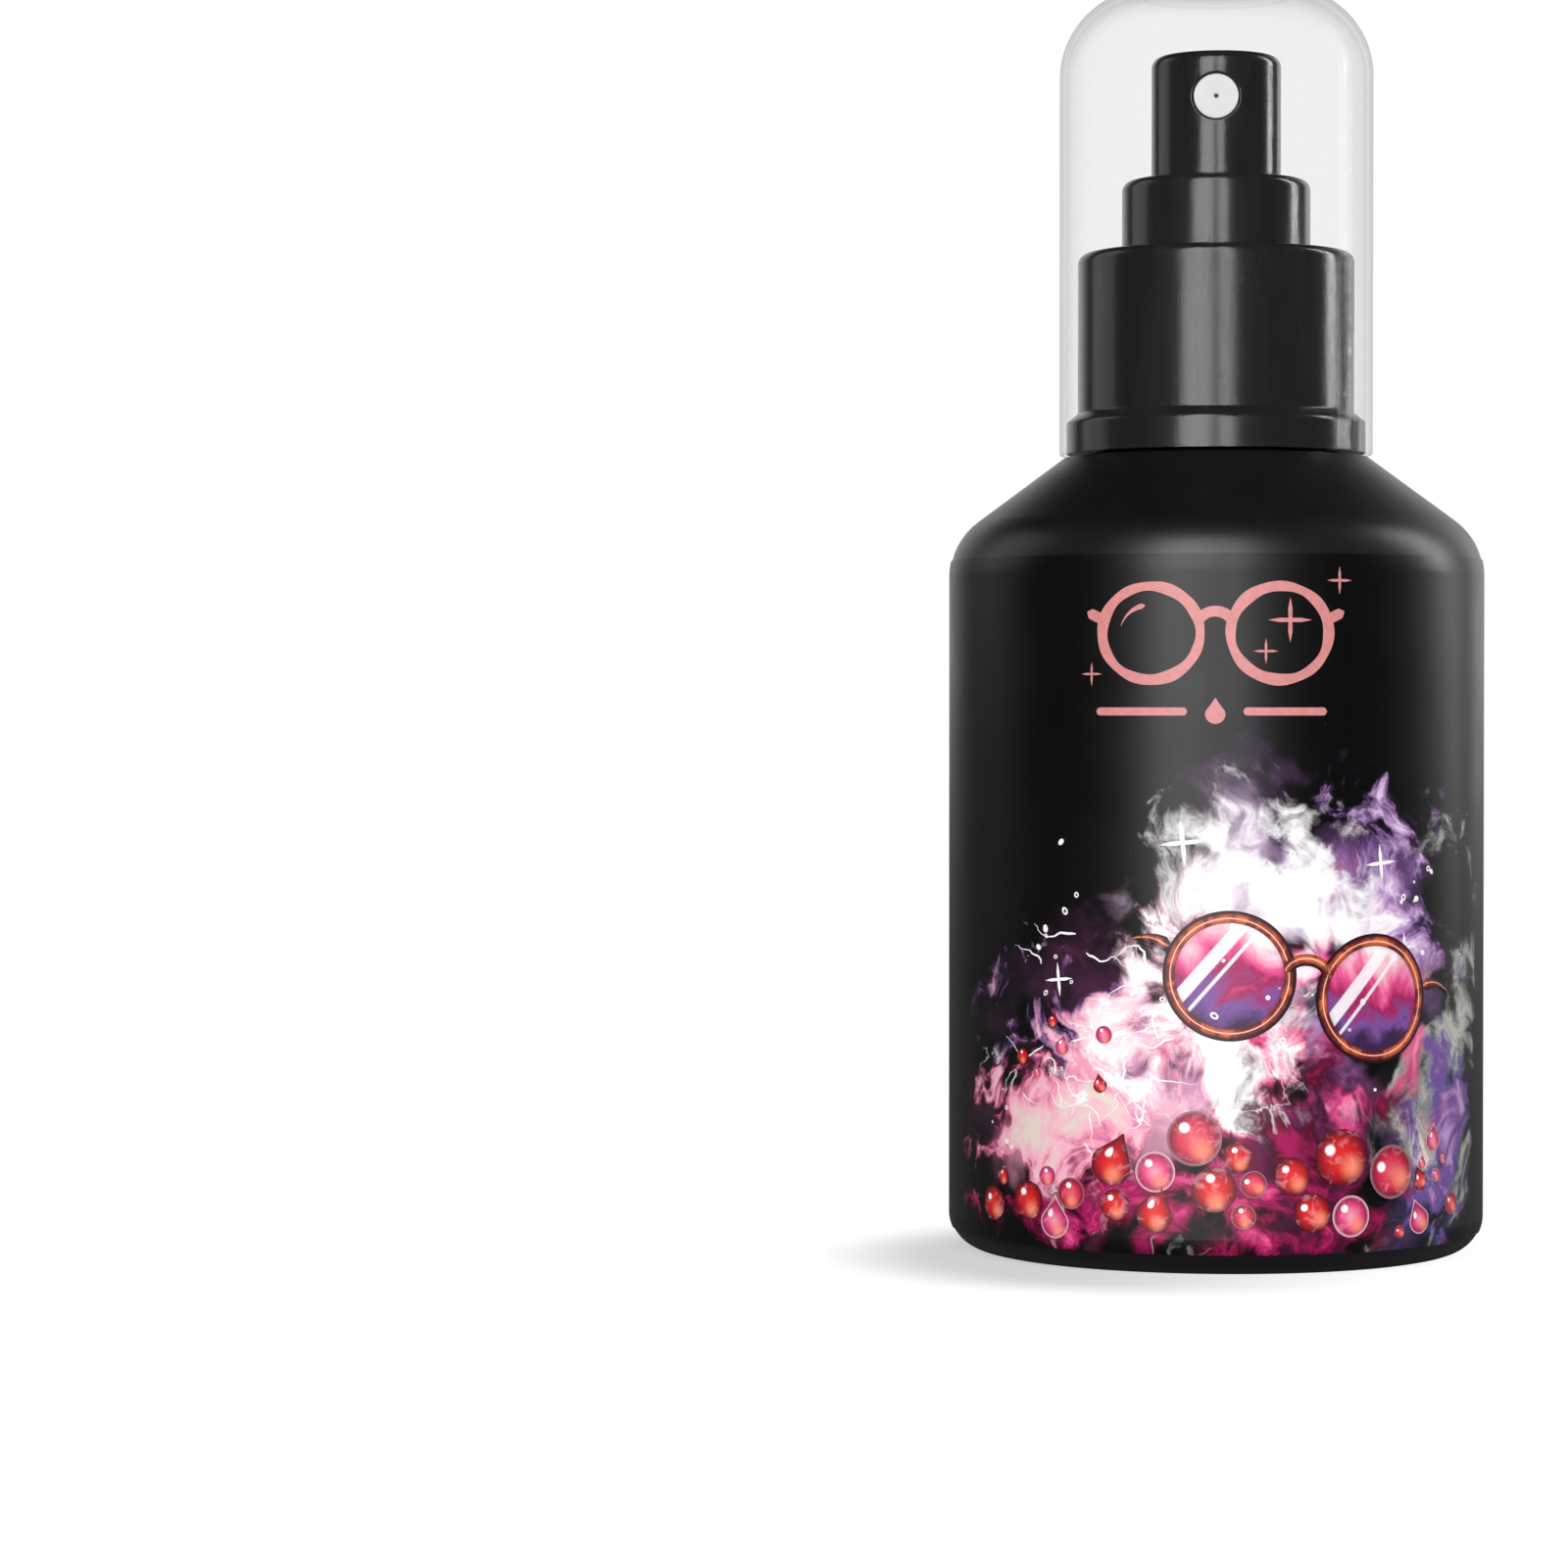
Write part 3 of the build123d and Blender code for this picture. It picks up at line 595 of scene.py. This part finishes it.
def painted_lens():
    """Tinted lens: violet at its foot, pink to white at its head, with two slanted glints."""
    s = Shader("print_lens_ink")
    across, along, _ = s.split(s.attribute("place"))
    spot = s.join(across, along, 0.0)
    cloud = s.noise(150, detail=6, roughness=0.6, distortion=1.4)
    height = s.math("ADD", s.math("MULTIPLY", along, 0.5), s.math("ADD", cloud, 0.02))
    stops = ((0.1, NIGHT), (0.3, VIOLET), (0.5, MAGENTA), (0.66, PINK), (0.84, ROSE), (1.0, WHITE))
    colour = s.ramp(height, *stops)
    slant = s.math("ADD", s.math("MULTIPLY", across, 0.9), s.math("MULTIPLY", along, -0.55))
    for centre, half in ((-0.42, 0.13), (-0.14, 0.045)):
        glint = s.step(s.math("ABSOLUTE", s.math("SUBTRACT", slant, centre)), half, half - 0.03)
        colour = s.mix(s.math("MULTIPLY", glint, 0.8), colour, WHITE)
    edge = s.step(s.vector("LENGTH", spot), 0.8, 1.0)
    colour = s.mix(s.math("MULTIPLY", edge, 0.6), colour, NIGHT)
    s.principled(Base_Color=colour, Roughness=0.4)
    return s.material


def coral_emblem():
    """Plain spectacles and sparkles over a rule with a drop, in one coral ink."""
    art = Print("coral_emblem", printed_ink("coral_ink", CORAL))
    for side in (-1, 1):
        ring = arc_points((6.1 * side, 60.0), (4.7, 4.35), 0, 360, steps=RING_STEPS)
        art.ribbon(ring, hand_drawn(0.98, side), closed=True)
        art.ribbon([(side * (10.6 + 0.35 * k), 61.2 + 0.16 * k) for k in range(6)], rounded(1.0, 0.3))
    art.ribbon(arc_points((0, 60.4), (1.75, 1.6), 165, 15), rounded(1.0, 0.1))
    art.ribbon(arc_points((-6.1, 60.0), (2.9, 2.6), 100, 165), tapered(0.6))
    art.star((7.0, 61.2), 2.1)
    art.star((4.7, 58.3), 1.2)
    art.star((11.9, 64.9), 1.3)
    art.star((-11.9, 56.2), 1.1)
    for start, end in ((-11.4, -2.6), (2.6, 10.6)):
        rule = [(start + (end - start) * k / RULE_STEPS, 52.7) for k in range(RULE_STEPS + 1)]
        art.ribbon(rule, rounded(0.75, 0.045))
    art.disc((0, 52.5), (0.95, 0.95), pinch=1.0)
    art.finish()


def painted_spectacles():
    """Round spectacles leaning in the mist."""
    tilt = math.radians(-9)
    centre = Vector((8.6, 27.0))
    side = Vector((math.cos(tilt), math.sin(tilt)))
    up = Vector((-side.y, side.x))
    lenses = Print("painted_lenses", painted_lens())
    rims = Print("painted_rims", painted_rim(), lift=INK_T)
    for sign in (-1, 1):
        middle = centre + side * (7.3 * sign)
        lenses.disc(middle, (5.7, 5.5), tilt=tilt, rings=6)
        ring = arc_points(middle, (5.7, 5.5), 0, 360, tilt=tilt, steps=RING_STEPS)
        rims.ribbon(ring, lambda t: 1.15, closed=True)
        hinge = middle + side * (6.0 * sign) + up * 1.9
        sweep = [hinge + side * (sign * 0.5 * k) + up * (0.26 * k - 0.035 * k * k) for k in range(9)]
        rims.ribbon(sweep, tapered(1.3))
    rims.ribbon(arc_points(centre + up * 0.9, (2.2, 1.7), 170, 10, tilt=tilt), rounded(1.1, 0.1))
    lenses.finish()
    rims.finish()


def scattered_drops(dice):
    """Glassy drops in drifts along the foot of the print, and finer ones thrown up by the spray."""
    art = Print("painted_drops", painted_drop(), lift=2 * INK_T)
    drifts = (
        ((-15.5, 6.0), (5.0, 2.2), 9, (0.8, 1.9)),
        ((-3.5, 9.0), (5.5, 3.2), 8, (1.2, 2.6)),
        ((9.5, 8.0), (6.0, 3.4), 8, (1.1, 2.9)),
        ((20.5, 8.0), (4.0, 4.0), 7, (0.5, 1.4)),
        ((-12.0, 22.0), (7.0, 6.0), 6, (0.4, 1.0)),
    )
    placed = []
    for centre, spread, count, sizes in drifts:
        for _ in range(count):
            for _ in range(DROP_TRIES):
                spot = (dice.gauss(centre[0], spread[0] * 0.6), dice.gauss(centre[1], spread[1] * 0.6))
                size = dice.uniform(*sizes)
                if spot[1] - size < 3.0:
                    continue
                if all(math.dist(spot, other) > 1.04 * (size + reach) for other, reach in placed):
                    break
            else:
                continue
            placed.append((spot, size))
            pinch = dice.choice((0.0, 0.0, 1.0))
            tilt = dice.uniform(-0.5, 0.5)
            pinkness = dice.choice((0.0, 0.0, 0.25, 0.8))
            art.disc(spot, (size, size), tilt=tilt, pinch=pinch, tag=pinkness, rings=5)
    art.finish()


def thrown_threads(dice):
    """White threads and flecks of liquid thrown out of the mist, and a few sparkles."""
    art = Print("white_threads", printed_ink("thread_ink", WHITE))
    for _ in range(THREAD_COUNT):
        spot = Vector((dice.gauss(-10.0, 5.0), dice.gauss(21.0, 6.0)))
        heading = dice.uniform(0, 2 * math.pi)
        curl = dice.gauss(0, 0.08)
        points = [spot.copy()]
        for _ in range(dice.randint(7, 15)):
            heading += curl + dice.gauss(0, 0.42)
            spot += 0.42 * Vector((math.cos(heading), math.sin(heading)))
            points.append(spot.copy())
        art.ribbon(points, tapered(dice.uniform(0.12, 0.36)))
    flecks = (
        ((-17.0, 31.0), (2.6, 3.8), 9),
        ((22.0, 34.0), (2.2, 3.4), 10),
        ((4.0, 29.0), (8.0, 7.0), 22),
        ((-23.0, 14.0), (1.4, 4.0), 6),
    )
    for centre, spread, count in flecks:
        for _ in range(count):
            arc = dice.gauss(centre[0], spread[0])
            height = dice.gauss(centre[1], spread[1])
            spot = (arc, min(44.0, max(4.0, height)))
            size = dice.uniform(0.08, 0.3)
            radii = (size, size * dice.uniform(0.8, 1.5))
            tilt = dice.uniform(-1, 1)
            hole = dice.choice((0.0, 0.5))
            art.disc(spot, radii, tilt=tilt, hole=hole, rings=1)
    sparkles = (
        ((-3.0, 40.5), 2.2),
        ((16.5, 38.5), 1.8),
        ((-15.5, 27.5), 1.6),
        ((19.5, 30.5), 1.5),
        ((1.5, 33.0), 1.4),
    )
    for spot, size in sparkles:
        art.star(spot, size, tilt=0.1)
    art.finish()


def make_prints():
    """All the raised ink. The drops and the threads share one set of draws."""
    dice = random.Random(11)
    coral_emblem()
    painted_spectacles()
    scattered_drops(dice)
    thrown_threads(dice)


make_prints()

# ---------------------------------------------------------------- small moulded and made details

# How finely the beads and the springs' wire are cut.
RING_BEAD_STEPS = 96
BEAD_SIDES = 8
SEAM_STEPS = 32
PARTING_STEPS = 24
WIRE_STEPS = 28
WIRE_SIDES = 10

# Closed turns at each end of a spring.
END_TURNS = 1.0

# The film's overlap: its width, how far it stops short of the film's rims, and its section, as
# shares of the width from the free edge and rises in mm.
SEAM_WIDTH = 5.0 * MM
SEAM_INSET = 0.12 * MM
SEAM_SINK = 0.05 * MM
SEAM_OUTSIDE = ((0.0, 0.0), (0.01, 0.05), (0.03, 0.085), (0.3, 0.09), (0.7, 0.09), (1.0, 0.02))
SEAM_INSIDE = (1.0, 0.7, 0.3, 0.0)

# A parting line's section in mm, across it and out of the surface, and the way that surface faces.
PARTING_SECTION = ((-0.07, -0.05), (-0.03, 0.022), (0.03, 0.022), (0.07, -0.05))
SHOULDER_OUT = 0.75
SHOULDER_UP = 0.65

BASE_GATE_R = 1.4 * MM


def swept_bead(name, rows, material, body, closed=False):
    """Bead through cross-section rows, joined row to row, and capped at both ends unless closed."""
    mesh = bmesh.new()
    made = [[mesh.verts.new(point) for point in row] for row in rows]
    pairs = list(zip(made, made[1:]))
    if closed:
        pairs.append((made[-1], made[0]))
    for low, high in pairs:
        for k in range(len(low)):
            j = (k + 1) % len(low)
            mesh.faces.new((low[k], low[j], high[j], high[k]))
    if not closed:
        mesh.faces.new(made[0])
        mesh.faces.new(made[-1])
    bmesh.ops.recalc_face_normals(mesh, faces=mesh.faces)
    data = bpy.data.meshes.new(name)
    mesh.to_mesh(data)
    mesh.free()
    data.materials.append(material)
    for face in data.polygons:
        face.use_smooth = True
    piece = bpy.data.objects.new(name, data)
    scene.collection.objects.link(piece)
    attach(piece, body)
    return piece


def on_bottle(radius, angle, height):
    """Point at a radius, angle and height round the bottle's axis."""
    return Vector((radius * math.sin(angle), -radius * math.cos(angle), height))


def sleeve_seam():
    """Overlap of the film at the back, where the wrap is closed: a strip with a rounded free edge."""
    edge = math.radians(180)
    width = SEAM_WIDTH / SLEEVE_R
    low, high = sleeve_low.z + SEAM_INSET, sleeve_high.z - SEAM_INSET
    rows = []
    for k in range(SEAM_STEPS + 1):
        height = low + (high - low) * k / SEAM_STEPS
        row = []
        for share, rise in SEAM_OUTSIDE:
            row.append(on_bottle(SLEEVE_R + rise * MM, edge - width * share, height))
        for share in SEAM_INSIDE:
            row.append(on_bottle(SLEEVE_R - SEAM_SINK, edge - width * share, height))
        rows.append(row)
    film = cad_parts["label_sleeve"].active_material
    swept_bead("sleeve_seam", rows, film, "bottle")


def ring_bead(name, radius, height, wide, tall, material, body):
    """Low rounded ring lying flat, as left by a mould insert."""
    rows = []
    for k in range(RING_BEAD_STEPS):
        angle = 2 * math.pi * k / RING_BEAD_STEPS
        row = []
        for j in range(BEAD_SIDES):
            turn = 2 * math.pi * j / BEAD_SIDES
            out, up = wide * math.cos(turn), tall * math.sin(turn)
            row.append(on_bottle(radius + out, angle, height + up))
        rows.append(row)
    swept_bead(name, rows, material, body, closed=True)


def parting_line(name, angle):
    """Fine mould parting line down the bottle's coned shoulder."""
    rows = []
    for k in range(PARTING_STEPS + 1):
        radius = NECK_END_R + (SHOULDER_END_R - NECK_END_R) * k / PARTING_STEPS
        height = shoulder_height(radius)
        row = []
        for across, rise in PARTING_SECTION:
            out, up = SHOULDER_OUT * rise * MM, SHOULDER_UP * rise * MM
            row.append(on_bottle(radius + out, angle + across * MM / radius, height + up))
        rows.append(row)
    swept_bead(name, rows, bottle_black, "bottle")


def shoulder_height(radius):
    """Height of the bottle's outside at a radius, found on its mesh."""
    hit = bottle_tree.ray_cast(Vector((radius, 0, 90 * MM)), Vector((0, 0, -1)))
    return hit[0].z


def tree_of(node):
    """Search tree over a CAD node's mesh, in the frame's coordinates."""
    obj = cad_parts[node]
    points = [obj.matrix_world @ vertex.co for vertex in obj.data.vertices]
    return BVHTree.FromPolygons(points, [tuple(face.vertices) for face in obj.data.polygons])


def base_gate():
    """Small ring in the middle of the pushed-up base, left where the parison was pinched off."""
    hit = bottle_tree.ray_cast(Vector((BASE_GATE_R, 0, -5 * MM)), Vector((0, 0, 1)))
    ring_bead("base_gate_mark", BASE_GATE_R, hit[0].z, 0.14 * MM, 0.08 * MM,
              bottle_black, "bottle")


def spring(name, node, body, wire, turns):
    """Coil spring with closed end turns in its CAD node's place."""
    low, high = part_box(node)
    mean = high.x - wire
    length = high.z - low.z
    rise = length - 2 * wire
    ends = 2 * wire * END_TURNS
    open_rise = rise - 2 * ends
    steps = int(turns * WIRE_STEPS)
    rows = []
    for k in range(steps + 1):
        turn = turns * k / steps
        if turn < END_TURNS:
            height = 2 * wire * turn
        elif turn > turns - END_TURNS:
            height = rise - 2 * wire * (turns - turn)
        else:
            height = ends + open_rise * (turn - END_TURNS) / (turns - 2 * END_TURNS)
        centre_z = low.z + wire + height
        row = []
        for j in range(WIRE_SIDES):
            spin = 2 * math.pi * j / WIRE_SIDES
            out, up = wire * math.cos(spin), wire * math.sin(spin)
            row.append(on_bottle(mean + out, 2 * math.pi * turn, centre_z + up))
        rows.append(row)
    piece = swept_bead(name, rows, steel, body)
    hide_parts(node)
    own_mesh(piece)


bottle_tree = tree_of("bottle")
base_gate()
spring("return_coil", "return_spring", "pump", 0.3 * MM, 7.5)
spring("piston_coil", "piston_spring", "plunger", 0.18 * MM, 4.5)
sleeve_seam()
for side, turn in (("right", 90), ("left", -90)):
    parting_line(f"parting_line_{side}", math.radians(turn))
clear_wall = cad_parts["overcap"].active_material
gate_z = cap_high.z - CAP_ROOF + 0.02 * MM
for name, radius, wide, tall in (
    ("overcap_gate_ring", 7.0 * MM, 0.10 * MM, 0.07 * MM),
    ("overcap_gate_pip", 0.9 * MM, 0.12 * MM, 0.08 * MM),
):
    ring_bead(name, radius, gate_z, wide, tall, clear_wall, "overcap")

# ---------------------------------------------------------------- studio

# The camera, measured on the photograph in pixels of the full frame: its focal length, how far the
# bottle's axis stands right of the picture's middle, and how far the horizon is above it.
FOCAL_PX = 4890
FRAME_PX = 1600
SENSOR = 36.0
CAMERA_AT = Vector((0, -0.4725, 0.0534))
AXIS_RIGHT_PX = 440
HORIZON_UP_PX = 81.7

FLOOR_HALF = 4.0

# The bright wall behind the bottle, which only lights it: between which angles its sides and its
# top fade out, in degrees from straight back and from level, and how bright it is. The dark flags
# stand beside it, and ABOVE_SHARE of its light is left over its top.
WALL_OUTER = 50
WALL_INNER = 27
WALL_TOP_OUTER = 32
WALL_TOP_INNER = 20
WALL_LEVEL = 1.0
FLAG_LEVEL = 0.015
ABOVE_SHARE = 0.1

# Upright panels: name, degrees from the front (positive to the right), distance, width, height,
# height of the centre and brightness.
KEY_LEVEL = 6.6
PANELS = (
    ("key_left", -15.2, 0.9, 0.395, 1.5, 0.45, KEY_LEVEL),
    ("key_right", 8.4, 0.9, 0.19, 1.5, 0.45, KEY_LEVEL),
    ("rim_right", 108.5, 0.8, 0.075, 0.72, 0.48, 13.0),
    ("glint_right", 115, 0.8, 0.006, 0.72, 0.48, 90.0),
    ("rim_low", 121, 0.8, 0.09, 0.15, 0.075, 4.0),
    ("rim_back", 146, 0.8, 0.12, 0.95, 0.25, 1.0),
    ("fill_left", -108, 0.8, 0.44, 0.66, 0.42, 0.95),
)
PRINT_WASH = ("print_wash", 30, 1.0, 1.2, 1.0, 0.2, 1.2)


def make_camera():
    """The photograph's camera, in front of the bottle and turned to its left."""
    data = bpy.data.cameras.new("camera")
    data.sensor_width = SENSOR
    data.lens = FOCAL_PX / FRAME_PX * SENSOR
    data.clip_start = 0.01
    camera = bpy.data.objects.new("camera", data)
    camera.location = CAMERA_AT
    yaw = math.atan(AXIS_RIGHT_PX / FOCAL_PX)
    pitch = math.atan(HORIZON_UP_PX / FOCAL_PX)
    camera.rotation_euler = (math.pi / 2 - pitch, 0, yaw)
    scene.collection.objects.link(camera)
    scene.camera = camera


def strip_light(name, angle, distance, width, height, centre_z, level):
    """Upright panel of an even brightness, facing the bottle's axis."""
    data = bpy.data.lights.new(name, "AREA")
    data.shape = "RECTANGLE"
    data.size = width
    data.size_y = height
    data.energy = level * math.pi * width * height
    light = bpy.data.objects.new(name, data)
    turn = math.radians(angle)
    light.location = (distance * math.sin(turn), -distance * math.cos(turn), centre_z)
    aim = Vector((0, 0, centre_z)) - light.location
    light.rotation_euler = aim.to_track_quat("-Z", "Y").to_euler()
    scene.collection.objects.link(light)
    return light


def camera_or(tree, seen, lit):
    """Strength that is `seen` in the picture itself and `lit` as light falling on the object."""
    path = tree.nodes.new("ShaderNodeLightPath")
    choose = tree.nodes.new("ShaderNodeMix")
    choose.data_type = "FLOAT"
    tree.links.new(path.outputs["Is Camera Ray"], choose.inputs[0])
    for value, socket in ((lit, choose.inputs[2]), (seen, choose.inputs[3])):
        if isinstance(value, bpy.types.NodeSocket):
            tree.links.new(value, socket)
        else:
            socket.default_value = value
    return choose.outputs[0]


def make_world():
    """White backdrop. As light it is a bright wall behind the bottle and dark flags elsewhere."""
    world = bpy.data.worlds.new("studio")
    scene.world = world
    world.use_nodes = True
    tree = world.node_tree
    background = tree.nodes["Background"]
    coords = tree.nodes.new("ShaderNodeTexCoord")
    split = tree.nodes.new("ShaderNodeSeparateXYZ")
    tree.links.new(coords.outputs["Generated"], split.inputs[0])
    wall = tree.nodes.new("ShaderNodeMapRange")
    wall.interpolation_type = "SMOOTHSTEP"
    wall.inputs["From Min"].default_value = math.cos(math.radians(WALL_OUTER))
    wall.inputs["From Max"].default_value = math.cos(math.radians(WALL_INNER))
    wall.inputs["To Min"].default_value = FLAG_LEVEL
    wall.inputs["To Max"].default_value = WALL_LEVEL
    tree.links.new(split.outputs["Y"], wall.inputs["Value"])
    top = tree.nodes.new("ShaderNodeMapRange")
    top.interpolation_type = "SMOOTHSTEP"
    top.inputs["From Min"].default_value = math.sin(math.radians(WALL_TOP_OUTER))
    top.inputs["From Max"].default_value = math.sin(math.radians(WALL_TOP_INNER))
    top.inputs["To Min"].default_value = ABOVE_SHARE
    tree.links.new(split.outputs["Z"], top.inputs["Value"])
    share = tree.nodes.new("ShaderNodeMath")
    share.operation = "MULTIPLY"
    tree.links.new(wall.outputs[0], share.inputs[0])
    tree.links.new(top.outputs[0], share.inputs[1])
    tree.links.new(camera_or(tree, 1.0, share.outputs[0]), background.inputs["Strength"])
    background.inputs["Color"].default_value = (1, 1, 1, 1)


def make_floor():
    """White floor. Seen by the camera it carries a painted shadow, greyer to the left and under the
    bottle, and it lights little.
    """
    mesh = bpy.data.meshes.new("floor")
    grid = bmesh.new()
    bmesh.ops.create_grid(grid, x_segments=1, y_segments=1, size=FLOOR_HALF)
    grid.to_mesh(mesh)
    grid.free()
    floor = bpy.data.objects.new("floor", mesh)
    s = Shader("floor_white")
    # Painted shadow: the floor's seen brightness drops near the bottle's foot, and more so to the left.
    shade = s.step(s.split(s.coords)["X"], -0.02, 0.024, 0.55, 0.91)
    near = s.vector("LENGTH", s.vector("ADD", s.coords, (0.004, 0.008, 0.0)))
    painted_contact_shadow = s.step(near, 0.022, 0.037, shade, 0.94)
    seen = s.math("ADD", painted_contact_shadow, s.step(s.vector("LENGTH", s.coords), 0.1, 0.7, 0.0, 0.06))
    tone = s.mix(s.noise(3, detail=3), (0.14, 0.14, 0.14), (0.16, 0.16, 0.16))
    s.principled(
        Base_Color=tone,
        Roughness=0.6,
        Emission_Color=(1, 1, 1),
        Emission_Strength=camera_or(s.tree, seen, 0.02),
        Specular_IOR_Level=0.0,
    )
    mesh.materials.append(s.material)
    scene.collection.objects.link(floor)


def studio():
    """World, floor and panels. The wash lights the print but isn't mirrored in the gloss."""
    scene.view_settings.view_transform = "Standard"
    make_world()
    make_floor()
    for panel in PANELS:
        strip_light(*panel)
    wash = strip_light(*PRINT_WASH)
    wash.visible_glossy = False


make_camera()
studio()
